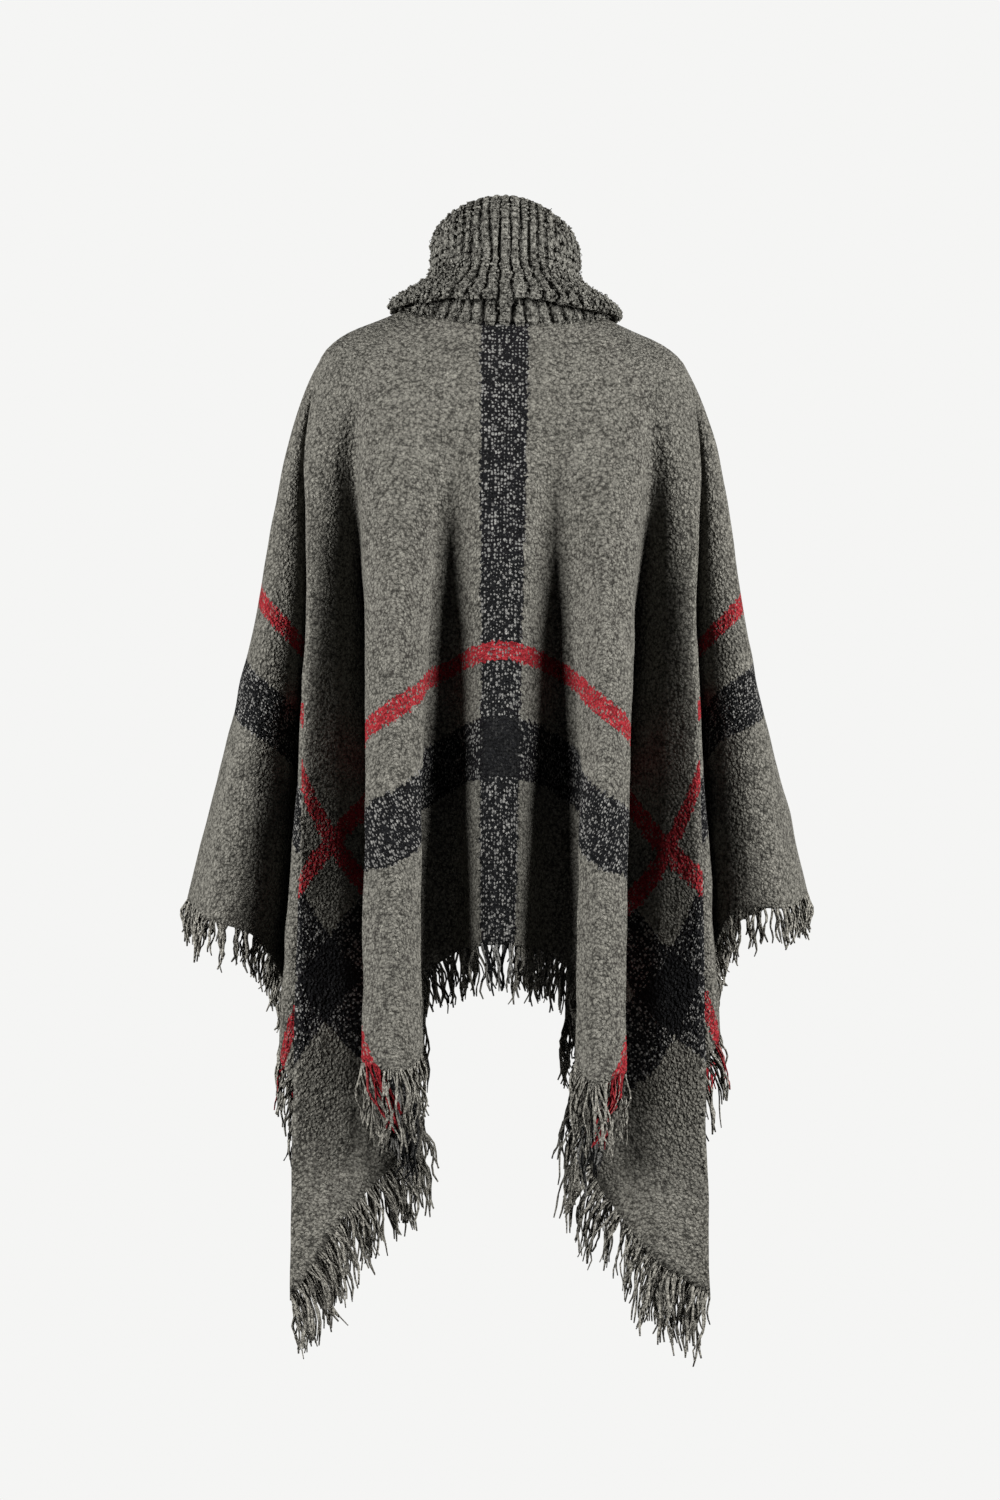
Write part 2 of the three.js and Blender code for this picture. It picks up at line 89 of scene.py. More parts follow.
# How the folds of the other quarters differ from the table, by fold and column
RIGHT_BACK_CHANGES = {
    "wing": {"hem_z": 12},
    "wing_end": {"hem_z": 24, "hem_x": -8},
    "side_ridge": {"hem_x": 6, "hem_z": 22},
    "corner": {"hem_x": 12, "hem_z": 4, "hem_d": -6},
    "point_panel": {"hem_x": 12, "hem_z": -44, "hem_u": 8},
    "deep_trough": {"hem_x": 8, "hem_z": -14},
    "lobe_outer": {"hem_x": -6, "mid_x": -4, "hem_z": -10},
    "lobe_crest": {"hem_x": -2, "hem_z": -12},
    "lobe_inner": {"hem_x": 3, "mid_x": 3, "hem_z": -8},
    "inner_trough": {"hem_x": 5, "mid_x": 4},
}
LEFT_FRONT_CHANGES = {
    "wing_end": {"hem_x": 6, "hem_z": -8},
    "side_ridge": {"mid_x": -4, "hem_x": -6},
    "corner": {"hem_x": 8, "hem_z": 10, "hem_d": -8},
    "deep_trough": {"mid_d": 10, "hem_x": 6},
    "lobe_outer": {"mid_d": -8, "hem_x": 7, "hem_d": -14},
    "lobe_crest": {"mid_d": -6, "hem_x": 6, "hem_d": -12},
    "lobe_inner": {"hem_x": 4, "hem_d": -6},
    "band_edge": {"mid_d": 6},
    "centre": {"mid_d": 8, "hem_d": 4},
}
RIGHT_FRONT_CHANGES = {
    "arm": {"mid_x": -5, "hem_x": -1, "hem_z": 6},
    "wing": {"hem_z": 6},
    "corner": {"hem_x": -4, "hem_z": -6},
    "lobe_outer": {"mid_d": 4, "hem_x": -5, "hem_d": -4},
    "lobe_crest": {"mid_d": 6, "hem_x": -6, "hem_d": -2},
    "inner_trough": {"hem_x": 3, "mid_d": 4},
    "band_edge": {"mid_d": 6},
    "centre": {"mid_d": 8, "hem_d": 4},
}

# Collar: a rib-knit tube, folded over once at the top
COLLAR_RIBS = 48
RIB_DEPTH = 5.2
GROOVE_WIDTH = 3.0
COLLAR_WALL = 4.0
COLLAR_TOP = {"side": 79, "back": 108, "front": 62}
COLLAR_EDGE_HEIGHT = {"side": 4, "back": 9, "front": -12}
COLLAR_HALF = {"tube": (70, 73), "flare": (85, 79), "skirt": (104, 84), "edge": (112, 87)}
FLARE_RISE = 25
LAYER_SLIT = 1.2

# Check: half width of the charcoal centre band, and middle and half width of the other bands, in metres
CENTRE_BAND = 0.0235
CHARCOAL_BAND = (0.530, 0.030)
RED_LINE = (0.434, 0.0094)

# Unevenness of the cloth: height, size of a cell, and the number that sets its pattern
SAG = ((1.3, 74, 11), (0.9, 31, 12))
NUBBY_SURFACE = ((0.55, 4.2, 1), (0.5, 7.5, 2))

# Nubs and small loops of yarn on the outside
NUBS_PER_PANEL = 15500
LOOPS_PER_PANEL = 2200
COLLAR_NUBS = 4200
COLLAR_LOOPS = 700
NUB_SIZE = (1.2, 2.4)
LOOP_LIFT = (1.5, 4.0)
LOOP_REACH = (2.5, 6.0)
LOOP_RADIUS = (0.35, 0.6)

# Fringe: loose yarns that gather into locks. Red tufts on the back folds swing inwards and outwards.
STRAND_PITCH = 1.9
STRAND_LENGTH = {"short": 43, "long": 70}
LONG_ALONG_HEM = {"from": 250, "over": 130, "least": 0.35}
LONG_ALONG_SIDE = {"from": 380, "over": 150}
THINNEST = 0.62
STRAND_RADIUS = (0.95, 1.75)
STRAND_TAPER = (1.0, 1.0, 1.0, 1.0, 0.95, 0.9, 0.85, 0.6)
STRAND_ROOT = 3.0
TUBE_SIDES = 3
LOCK_PITCH = 12.0
LOCK_GATHER = 0.66
TUFT_SWING = {"inwards": 26, "outwards": 9}
TUFT_HALF_WIDTH = 14

# Wool and its bump, lights and camera, in metres and watts
WOOL_ROUGHNESS = 0.96
WOOL_SPECULAR = 0.03
BUMP_DISTANCE = 0.0019
LIGHT_COLOUR = (1.0, 0.99, 0.97)
LIGHT_TARGET = (0.0, 0.0, -0.45)
LIGHT_COLUMNS = ("name", "place", "size", "power")
LIGHTS = (
    ("left_softbox", (-3.2, -1.72, 0.5), (1.7, 2.0), 425.0),
    ("right_softbox", (3.2, -1.75, 0.5), (1.7, 2.0), 465.0),
    ("front_softbox", (0.0, -3.9, 1.7), (0.6, 0.6), 4.0),
    ("behind", (0.4, 3.0, 0.8), (2.0, 2.0), 230.0),
)
CAMERA_PLACE = (-0.005, -3.5, -0.432)
CAMERA_LENS = 84.0

# Floor, in millimetres
FLOOR_RADIUS = 1150
FLOOR_HEIGHT = -1450.0
FLOOR_SIDES = 96


def unit(vectors):
    """Vectors of length one."""
    return vectors / np.maximum(np.linalg.norm(vectors, axis=-1, keepdims=True), 1e-9)


def height_around(heights, angle, at_back, fullness=2.0):
    """Height that turns smoothly from the side to the back or the front, at angles in radians."""
    end = np.where(at_back, heights["back"], heights["front"])
    return heights["side"] + (end - heights["side"]) * np.abs(np.sin(angle)) ** fullness


def curve_through(points, at, i, share, lead=0.5):
    """Smooth curve that meets points at the values in at, for shares of the way past point i."""

    def rate(k):
        return (points[k + 1] - points[k]) / (at[k + 1] - at[k])

    def slope(k):
        if k == 0:
            return rate(0)
        if k == len(points) - 1:
            return rate(k - 1)
        return rate(k - 1) * (1 - lead) + rate(k) * lead

    span = at[i + 1] - at[i]
    start = 2 * share ** 3 - 3 * share ** 2 + 1
    leave = slope(i) * (share ** 3 - 2 * share ** 2 + share) * span
    arrive = slope(i + 1) * (share ** 3 - share ** 2) * span
    return points[i] * start + points[i + 1] * (1 - start) + leave + arrive


def reach_along(points, power):
    """Running sums of the distances between points in space, each raised to a power."""
    steps = [np.linalg.norm(b[..., 2:] - a[..., 2:], axis=-1, keepdims=True) ** power
             for a, b in zip(points, points[1:])]
    return [np.zeros_like(steps[0]), *np.cumsum(steps, axis=0)]


def level_places():
    """Levels of the fine rows, from the neck seam to the hem."""
    runs = [np.linspace(a, b, steps, endpoint=False)
            for a, b, steps in zip(LEVELS, LEVELS[1:], LEVEL_STEPS)]
    return np.concatenate([*runs, [LEVELS[-1]]])


def fold_line(row, changes, right, at_back, levels):
    """One fold down the cloth: its place on the flat cut and in space at each level, [u, v, x, y, z]."""
    fold = dict(zip(FOLD_COLUMNS, row))
    for column, change in changes.get(fold["name"], {}).items():
        fold[column] += change
    across = 1 if right else -1
    outwards = -1 if at_back else 1

    def on_outline(half, degrees, power, heights):
        angle = np.radians(degrees)
        cosine = np.cos(angle) if degrees < 90 else 0.0
        return np.array([
            half[0] * cosine ** power,
            half[1] * np.sin(angle) ** power,
            height_around(heights, angle, at_back),
        ])

    seam = on_outline(SEAM_HALF, fold["seam_angle"], 1, SEAM_HEIGHT)
    shoulder = on_outline(SHOULDER_HALF, fold["shoulder_angle"], SHOULDER_SQUARENESS, SHOULDER_HEIGHT)
    seam[2] -= seam[0] * across * SHOULDER_TILT
    shoulder[2] -= shoulder[0] * across * SHOULDER_TILT
    middle_flat = np.array([fold["mid_u"], fold["mid_v"]])
    over_shoulder = np.linalg.norm(shoulder - seam)
    shoulder_flat = seam[:2] + unit(middle_flat - seam[:2]) * over_shoulder
    controls = [
        np.array([*seam[:2], *seam]),
        np.array([*shoulder_flat, *shoulder]),
        np.array([*middle_flat, fold["mid_x"], fold["mid_d"], MIDDLE_HEIGHT]),
        np.array([fold["hem_u"], fold["hem_v"], fold["hem_x"], fold["hem_d"], fold["hem_z"]]),
    ]
    at = reach_along(controls, 1)
    line = np.empty((len(levels), 5))
    for i, (low, high) in enumerate(zip(LEVELS, LEVELS[1:])):
        here = (levels >= low) & (levels <= high)
        share = ((levels[here] - low) / (high - low))[:, None]
        line[here] = curve_through(controls, at, i, share, HANG_LEAD)
    line[:, [0, 2]] *= across
    line[:, [1, 3]] *= outwards
    line[:, 2] += line[:, 4] * LEAN
    return fold["name"], line


def folds_around(levels):
    """All folds: from the centre back over the left arm to the centre front, and back over the right arm."""

    def quarter(changes, right, at_back):
        return [fold_line(row, changes, right, at_back, levels) for row in BACK_FOLDS]

    left_back = quarter({}, False, True)[::-1]
    left_front = quarter(LEFT_FRONT_CHANGES, False, False)[1:]
    right_front = quarter(RIGHT_FRONT_CHANGES, True, False)[::-1][1:]
    right_back = quarter(RIGHT_BACK_CHANGES, True, True)[1:-1]
    return [*left_back, *left_front, *right_front, *right_back]


def drape():
    """The cloth's middle surface as columns round the garment and levels down it, and where the folds lie."""
    levels = level_places()
    folds = folds_around(levels)
    names = [name for name, _ in folds]
    lines = [line for _, line in folds]
    down = (levels / LEVELS[-1])[:, None]
    marks = {}
    columns = []
    for a, (name, line) in enumerate(folds):
        marks.setdefault(name, []).append(len(columns))
        points = [lines[(a + k) % len(lines)] for k in (-1, 0, 1, 2)]
        at = reach_along(points, 0.5)
        widest = np.linalg.norm((points[2] - points[1])[:, 2:], axis=1).max()
        steps = 2 * int(np.ceil(widest / (2 * COLUMN_PITCH)))
        touches_corner = "corner" in (name, names[(a + 1) % len(names)])
        for step in range(steps):
            share = step / steps
            smooth = curve_through(points, at, 1, share)
            straight = points[1] * (1 - share) + points[2] * share
            stiff = down ** 4 if touches_corner else np.zeros_like(down)
            place = smooth * (1 - stiff) + straight * stiff
            flat = smooth * (1 - down ** 3) + straight * down ** 3
            columns.append(np.concatenate([flat[:, :2], place[:, 2:]], axis=1))
    return np.array(columns), marks


def surface_normals(places):
    """Unit normals of a grid of points, facing out of the garment. Columns run round it, and rows down it."""
    along = np.roll(places, -1, axis=0) - np.roll(places, 1, axis=0)
    return unit(np.cross(np.gradient(places, axis=1), along))


def knot(i, j, salt):
    """A fixed number from 0 to 1 for each whole i and j."""
    wave = np.sin(i * 127.1 + j * 311.7 + salt * 74.7) * 43758.5453
    return wave - np.floor(wave)


def unevenness(u, v, cell, salt):
    """Smooth unevenness from -1 to 1 over two coordinates, with one knot in each cell."""
    x = u / cell
    y = v / cell
    i = np.floor(x)
    j = np.floor(y)
    f = (x - i) ** 2 * (3 - 2 * (x - i))
    g = (y - j) ** 2 * (3 - 2 * (y - j))
    low = knot(i, j, salt) * (1 - f) + knot(i + 1, j, salt) * f
    high = knot(i, j + 1, salt) * (1 - f) + knot(i + 1, j + 1, salt) * f
    return 2 * (low * (1 - g) + high * g) - 1


def relief(u, v, layers):
    """Height of several layers of unevenness."""
    return sum(height * unevenness(u, v, cell, salt) for height, cell, salt in layers)


def add_mesh(name, points, faces, flat, material):
    """A mesh object from points in millimetres, blocks of faces, and each point's place on the flat cut."""
    mesh = bpy.data.meshes.new(name)
    mesh.vertices.add(len(points))
    mesh.vertices.foreach_set("co", (points * MM).astype(np.float32).ravel())
    corners = np.concatenate([block.ravel() for block in faces]).astype(np.int32)
    sizes = np.concatenate([np.full(len(block), block.shape[1]) for block in faces])
    starts = np.concatenate([[0], np.cumsum(sizes)[:-1]]).astype(np.int32)
    mesh.loops.add(len(corners))
    mesh.loops.foreach_set("vertex_index", corners)
    mesh.polygons.add(len(sizes))
    mesh.polygons.foreach_set("loop_start", starts)
    mesh.update(calc_edges=True)
    layer = mesh.uv_layers.new(name="flat_cut")
    layer.data.foreach_set("uv", (flat[corners] * MM).astype(np.float32).ravel())
    mesh.polygons.foreach_set("use_smooth", np.full(len(sizes), True))
    mesh.validate()
    mesh.materials.append(material)
    piece = bpy.data.objects.new(name, mesh)
    bpy.context.scene.collection.objects.link(piece)
    return piece


def grid_faces(count, rows, first=0, turned=False):
    """Quads between neighbouring columns and rows of a grid whose points are numbered down each column."""
    column, row = np.meshgrid(np.arange(count - 1), np.arange(rows - 1), indexing="ij")
    here = first + column * rows + row
    there = here + rows
    quads = np.stack([here, there, there + 1, here + 1], axis=-1).reshape(-1, 4)
    return quads[:, ::-1] if turned else quads


def edge_faces(fine, coarse):
    """Triangles that join an edge of fine points to one of coarse points, two fine steps to a coarse step."""
    a = fine[:-2:2]
    b = fine[1:-1:2]
    c = fine[2::2]
    e = coarse[:-1]
    f = coarse[1:]
    return np.concatenate([np.stack(t, axis=-1) for t in ((a, b, e), (b, f, e), (b, c, f))])


def panel(name, columns, normals, first, last, material):
    """One panel of the cloth as a closed wall: nubby outside, plainer inside, and its four edges."""
    order = np.arange(first, last + 1) % len(columns)
    flat = columns[order][:, :, :2]
    place = columns[order][:, :, 2:]
    normal = normals[order]
    u = flat[..., 0]
    v = flat[..., 1]
    outer = place + normal * (CLOTH_WALL / 2 + relief(u, v, NUBBY_SURFACE))[..., None]
    inner = (place - normal * (CLOTH_WALL / 2))[::2, ::2]
    count, rows = u.shape
    inner_count, inner_rows = inner.shape[:2]
    base = count * rows
    fine = np.arange(base).reshape(count, rows)
    coarse = base + np.arange(inner_count * inner_rows).reshape(inner_count, inner_rows)
    rim = [
        edge_faces(fine[:, 0], coarse[:, 0]),
        edge_faces(fine[::-1, -1], coarse[::-1, -1]),
        edge_faces(fine[0][::-1], coarse[0][::-1]),
        edge_faces(fine[-1], coarse[-1]),
    ]
    points = np.concatenate([outer.reshape(-1, 3), inner.reshape(-1, 3)])
    flats = np.concatenate([flat.reshape(-1, 2), flat[::2, ::2].reshape(-1, 2)])
    faces = [
        grid_faces(count, rows, turned=True),
        grid_faces(inner_count, inner_rows, first=base),
        np.concatenate(rim),
    ]
    return add_mesh(name, points, faces, flats, material)


def tubes(centres, radii):
    """Points and faces of closed tubes. Centres are [tube, step, xyz], and radii are [tube, step]."""
    count, steps = radii.shape
    ahead = unit(np.gradient(centres, axis=1))
    aside = unit(np.cross(ahead, np.array([0.31, 0.17, 0.93])))
    other = np.cross(ahead, aside)
    turns = np.arange(TUBE_SIDES) * 2 * np.pi / TUBE_SIDES
    ring = aside[:, :, None] * np.cos(turns)[:, None] + other[:, :, None] * np.sin(turns)[:, None]
    points = centres[:, :, None] + ring * radii[:, :, None, None]
    index = np.arange(count * steps * TUBE_SIDES).reshape(count, steps, TUBE_SIDES)
    here = index[:, :-1]
    there = index[:, 1:]
    quads = np.stack([here, np.roll(here, -1, 2), np.roll(there, -1, 2), there], axis=-1).reshape(-1, 4)
    caps = np.concatenate([index[:, 0, ::-1], index[:, -1]])
    return points.reshape(-1, 3), [quads, caps]


def nubs_and_loops(spots, normal, loop_count, rng):
    """Low round nubs of yarn at the spots, and small loops that stand proud at the first few of them."""
    count = len(spots)
    along = unit(np.cross(normal, rng.normal(size=(count, 3))))
    aside = np.cross(normal, along)
    size = rng.uniform(*NUB_SIZE, (count, 1))
    middle = spots + normal * rng.uniform(-0.3, 1.3, (count, 1))
    ends = [along * size * 1.35, aside * size, normal * size * 0.85]
    points = np.stack([middle + sign * end for end in ends for sign in (1, -1)], axis=1)
    facets = np.array([
        (0, 2, 4), (2, 1, 4), (1, 3, 4), (3, 0, 4), (2, 0, 5), (1, 2, 5), (3, 1, 5), (0, 3, 5),
    ])
    faces = (np.arange(count)[:, None, None] * 6 + facets).reshape(-1, 3)
    steps = np.linspace(0, 1, 4)
    arch = np.sin(steps * np.pi * 0.86)
    lift = rng.uniform(*LOOP_LIFT, (loop_count, 1))
    reach = rng.uniform(*LOOP_REACH, (loop_count, 1))
    centres = (
        spots[:loop_count, None]
        + normal[:loop_count, None] * (arch[:, None] * lift[:, None] - 0.2)
        + along[:loop_count, None] * ((steps - 0.5)[:, None] * reach[:, None])
    )
    radii = rng.uniform(*LOOP_RADIUS, (loop_count, 1)) * np.array([1.0, 1.0, 0.9, 0.5])
    loops, loop_faces = tubes(centres, radii)
    faces = [faces, *(block + count * 6 for block in loop_faces)]
    nub_owners = np.repeat(np.arange(count), 6)
    loop_owners = np.repeat(np.arange(loop_count), len(steps) * TUBE_SIDES)
    owners = np.concatenate([nub_owners, loop_owners])
    return np.concatenate([points.reshape(-1, 3), loops]), faces, owners


def nap(name, columns, normals, first, last, rng, material):
    """Nubs and small loops of yarn all over one panel's outside."""
    count = NUBS_PER_PANEL
    order = np.arange(first, last + 1) % len(columns)
    grid = columns[order]
    place = grid[..., 2:]
    across = np.linalg.norm(np.diff(place, axis=0)[:, :-1], axis=-1)
    down = np.linalg.norm(np.diff(place, axis=1)[:-1], axis=-1)
    weight = (across * down).ravel()
    cells = rng.choice(len(weight), size=count, p=weight / weight.sum())
    column, row = np.unravel_index(cells, across.shape)
    f = rng.random((count, 1))
    g = rng.random((count, 1))
    spot = grid[column, row] * (1 - f) * (1 - g) + grid[column + 1, row] * f * (1 - g)
    spot = spot + grid[column, row + 1] * (1 - f) * g + grid[column + 1, row + 1] * f * g
    normal = normals[order][column, row]
    on_face = spot[:, 2:] + normal * CLOTH_WALL / 2
    points, faces, owners = nubs_and_loops(on_face, normal, LOOPS_PER_PANEL, rng)
    return add_mesh(name, points, faces, spot[owners, :2], material)


def hem_frame(columns, normals, first, last):
    """Hem points of one edge, with the direction in which the cloth would go on and the cloth's normal."""
    order = np.arange(first, last + 1) % len(columns)
    place = columns[order][:, -1, 2:]
    before = unit(np.diff(place, axis=0, prepend=2 * place[:1] - place[1:2]))
    after = unit(np.diff(place, axis=0, append=2 * place[-1:] - place[-2:-1]))
    down = unit(place - columns[order][:, -4, 2:])
    normal = normals[order][:, -1]
    square = unit(np.cross(before + after, normal))
    sharpness = np.clip((1 - (before * after).sum(axis=1, keepdims=True)) / 0.4, 0, 1)
    onwards = unit(square * (1 - sharpness) + down * sharpness)
    return columns[order][:, -1, :2], place, onwards, normal


def long_share(flat):
    """Where the fringe is long and full, from 0 on the wings to 1 on the back folds and the points."""
    along_hem = np.abs(flat[:, 0]) * (np.abs(flat[:, 1]) > CLOTH_HALF_LENGTH - 2)
    along_side = np.abs(flat[:, 1]) * (np.abs(flat[:, 0]) > CLOTH_HALF_WIDTH - 2)
    on_fold = (along_hem - LONG_ALONG_HEM["from"]) / LONG_ALONG_HEM["over"]
    on_fold = np.clip(on_fold, LONG_ALONG_HEM["least"], 1) * (along_hem > 0)
    on_point = np.clip((along_side - LONG_ALONG_SIDE["from"]) / LONG_ALONG_SIDE["over"], 0, 1)
    return np.maximum(on_fold, on_point)


def fringe(name, columns, normals, first, last, rng, material):
    """The frayed edge: wavy yarns that leave the hem square to it, gather into locks and fall."""
    flat, place, onwards, normal = hem_frame(columns, normals, first, last)
    reach = np.concatenate([[0], np.cumsum(np.linalg.norm(np.diff(place, axis=0), axis=1))])
    spots = np.sort(rng.uniform(0.5, reach[-1] - 0.5, int(reach[-1] / STRAND_PITCH)))
    fullness = np.interp(spots, reach, long_share(flat))
    spots = spots[rng.random(len(spots)) < THINNEST + (1 - THINNEST) * fullness]
    count = len(spots)

    def along(values):
        return np.stack([np.interp(spots, reach, values[:, k]) for k in range(values.shape[1])], axis=-1)

    root_flat = along(flat)
    root = along(place)
    ahead = unit(along(onwards))
    out = unit(along(normal))
    side = unit(np.cross(ahead, out))
    lock = np.round(spots / LOCK_PITCH)
    to_lock = (lock * LOCK_PITCH - spots)[:, None]
    lock_sway = (knot(lock, first % 97, 5) - 0.5)[:, None]
    lock_lift = (knot(lock, first % 89, 6) - 0.3)[:, None]
    share_long = long_share(root_flat)
    length = STRAND_LENGTH["short"] + (STRAND_LENGTH["long"] - STRAND_LENGTH["short"]) * share_long
    length = length * rng.uniform(0.72, 1.04, count)
    length *= 0.82 + 0.3 * knot(lock, 0, 9)
    steps = len(STRAND_TAPER)
    centres = np.empty((count, steps, 3))
    centres[:, 0] = root - ahead * STRAND_ROOT
    heading = unit(ahead + out * rng.normal(0, 0.10, (count, 1)) + side * rng.normal(0, 0.10, (count, 1)))
    phase = rng.uniform(0, 2 * np.pi, (count, 1))
    curl = rng.uniform(0.2, 0.62, (count, 1))
    fall = np.array([0.0, 0.0, -1.0])
    from_red = np.abs(root_flat[:, 0]) - RED_LINE[0] / MM
    in_tuft = np.exp(-(from_red / TUFT_HALF_WIDTH) ** 4) * (root_flat[:, 1] < 2 - CLOTH_HALF_LENGTH)
    swing = np.stack([
        -np.sign(root_flat[:, 0]) * TUFT_SWING["inwards"],
        np.full(count, -TUFT_SWING["outwards"]),
        np.zeros(count),
    ], axis=-1) * in_tuft[:, None]
    for k in range(1, steps):
        share = k / (steps - 1)
        pull = fall * (0.34 + 0.25 * share)
        sway = side * lock_sway * 0.3 + out * lock_lift * 0.10
        wave = side * np.sin(phase + share * 9.0) * curl + out * np.cos(phase * 1.7 + share * 8.0) * curl
        heading = unit(heading + pull + sway * 0.6 + wave * (0.4 + share))
        step_length = (length + STRAND_ROOT) / (steps - 1)
        gather = LOCK_GATHER * (share ** 0.6 - ((k - 1) / (steps - 1)) ** 0.6)
        centres[:, k] = centres[:, k - 1] + heading * step_length[:, None] - side * to_lock * gather
        centres[:, k] += swing / (steps - 1)
    radii = rng.uniform(*STRAND_RADIUS, (count, 1)) * np.array(STRAND_TAPER)
    points, faces = tubes(centres, radii)
    flats = np.repeat(root_flat, steps * TUBE_SIDES, axis=0)
    return add_mesh(name, points, faces, flats, material)


def closed_through(points, factor):
    """A closed smooth curve through points on axis 1, refined by a factor."""
    before = np.roll(points, 1, axis=1)
    after = np.roll(points, -1, axis=1)
    second = np.roll(points, -2, axis=1)
    parts = []
    for step in range(factor):
        s = step / factor
        parts.append(0.5 * (
            2 * points + (after - before) * s
            + (2 * before - 5 * points + 4 * after - second) * s ** 2
            + (3 * points - before - 3 * after + second) * s ** 3
        ))
    mixed = np.stack(parts, axis=2)
    return mixed.reshape(points.shape[0], -1, *points.shape[2:])


def collar(name, material):
    """The folded rib-knit tube: ribs on the outside of both layers, plain inside."""
    per_rib = 10
    refine = 4
    count = COLLAR_RIBS * per_rib
    angle = np.arange(count) / count * 2 * np.pi
    at_back = np.sin(angle) < 0
    seam_z = height_around(SEAM_HEIGHT, angle, at_back) + 2
    top_z = height_around(COLLAR_TOP, angle, at_back, 1.5)
    edge_z = height_around(COLLAR_EDGE_HEIGHT, angle, at_back)
    edge_z = edge_z + 1.6 * unevenness(angle * 100, angle * 0, 22, 3)
    flare_z = edge_z + FLARE_RISE
    tube = COLLAR_HALF["tube"]
    flare = COLLAR_HALF["flare"]
    skirt = COLLAR_HALF["skirt"]
    edge = COLLAR_HALF["edge"]
    wall = COLLAR_WALL
    stand = -wall - LAYER_SLIT
    # The tab is where the two layers are sewn together at the centre back
    tab = 0.6 * np.exp(-((angle - 1.5 * np.pi) / 0.07) ** 6)

    def rise(share):
        return flare_z + (top_z - flare_z) * share

    # Each row: half sizes, outwards, height, share of the rib height
    profile = (
        (edge, 0 - 5 * tab, edge_z + 4 - 19 * tab, 1.0),
        (skirt, 0, edge_z + 12 - 6 * tab, 1.0),
        (flare, 0, flare_z - 2, 1.0),
        (tube, 2.5, rise(0.2), 1.0),
        (tube, 0.5, rise(0.75), 1.0),
        (tube, -2.5, top_z, 0.6),
        (tube, stand - wall + 0.5, top_z - 2.5, 0.1),
        (tube, stand - wall, rise(0.15), 0),
        (flare, -wall * 1.5, flare_z - 13, 0),
        (SEAM_HALF, -wall / 2, seam_z, 0),
        (SEAM_HALF, wall / 2, seam_z, 1.0),
        (flare, -wall / 2, flare_z - 10, 1.0),
        (tube, stand, rise(0.15), 0),
        (tube, stand - 0.5, top_z - 8, 0),
        (tube, -wall + 0.5, top_z - 9, 0),
        (tube, -wall + 2, rise(0.15), 0),
        (flare, -wall + 0.5, flare_z - 7, 0),
        (skirt, -wall, edge_z + 8.5 - 6 * tab, 0),
        (edge, -1.5 - 5 * tab, edge_z - 19 * tab, 0.3),
    )
    radial = np.stack([np.cos(angle), np.sin(angle), np.zeros(count)], axis=-1)
    sections = np.empty((count, len(profile), 4))
    for j, (half, outwards, height, rib_share) in enumerate(profile):
        x = (half[0] + outwards) * radial[:, 0]
        y = (half[1] + outwards) * radial[:, 1]
        sections[:, j] = np.stack([x, y, height - x * SHOULDER_TILT, np.full(count, rib_share)], axis=-1)
    fine = closed_through(sections, refine)
    places = fine[..., :3]
    rib_share = np.clip(fine[..., 3], 0, 1)
    row = np.arange(fine.shape[1])[None]
    wander = 0.022 * unevenness(row * 1.0, angle[:, None] * 40, 6, 4)
    wander = wander + 0.024 * unevenness(row * 1.0, angle[:, None] * 90, 1.6, 8)
    across = ((angle[:, None] + wander) / (2 * np.pi) * COLLAR_RIBS) % 1 - 0.5
    pitch = 2 * np.pi * (tube[0] + tube[1]) / 2 / COLLAR_RIBS
    groove = np.exp(-(across * pitch / GROOVE_WIDTH * 1.6) ** 2)
    groove = groove * (0.86 + 0.14 * unevenness(row * 1.0, angle[:, None] * 90, 2.2, 9))
    bulge = 0.6 + RIB_DEPTH * (1 - groove) - RIB_DEPTH * 0.45
    normal = unit(np.cross(
        np.roll(places, -1, axis=0) - np.roll(places, 1, axis=0),
        np.roll(places, -1, axis=1) - np.roll(places, 1, axis=1),
    ))
    nubs = 0.45 * unevenness(angle[:, None] * 75, row * 3.2, 3.6, 7)
    lifted = places + normal * (rib_share * bulge + nubs * (0.4 + 0.6 * rib_share))[..., None]
    rows = fine.shape[1]
    index = np.arange(count * rows).reshape(count, rows)
    there = np.roll(index, -1, axis=0)
    quads = np.stack([index, there, np.roll(there, -1, 1), np.roll(index, -1, 1)], axis=-1).reshape(-1, 4)
    flats = np.stack([
        np.broadcast_to(200 + angle[:, None] * 8, (count, rows)),
        np.broadcast_to(200 + row * 0.5, (count, rows)),
    ], axis=-1).reshape(-1, 2)
    piece = add_mesh(name, lifted.reshape(-1, 3), [quads], flats, material)
    # The groove mask also drives the painted shade in the knit's grooves
    depth = piece.data.attributes.new("groove", "FLOAT", "POINT")
    depth.data.foreach_set("value", (groove * rib_share).astype(np.float32).ravel())
    outside = (rib_share > 0.5) & (groove < 0.5)
    return piece, lifted[outside], normal[outside]


def collar_nap(name, spots, normals, rng, material):
    """Nubs and small loops of yarn on the collar's ribs."""
    chosen = rng.choice(len(spots), size=COLLAR_NUBS, replace=False)
    points, faces, _ = nubs_and_loops(spots[chosen], normals[chosen], COLLAR_LOOPS, rng)
    return add_mesh(name, points, faces, np.zeros((len(points), 2)), material)


def new_group(name, inputs, outputs):
    """An empty shader node group with its named sockets."""
    group = bpy.data.node_groups.new(name, "ShaderNodeTree")
    for label, kind in inputs:
        group.interface.new_socket(label, in_out="INPUT", socket_type=kind)
    for label, kind in outputs:
        group.interface.new_socket(label, in_out="OUTPUT", socket_type=kind)
    return group, group.nodes.new("NodeGroupInput"), group.nodes.new("NodeGroupOutput")


def math_node(tree, operation, *values):
    """A Math node. Each value is a number or a socket to link."""
    node = tree.nodes.new("ShaderNodeMath")
    node.operation = operation
    for socket, value in zip(node.inputs, values):
        if isinstance(value, (int, float)):
            socket.default_value = value
        else:
            tree.links.new(value, socket)
    return node.outputs[0]


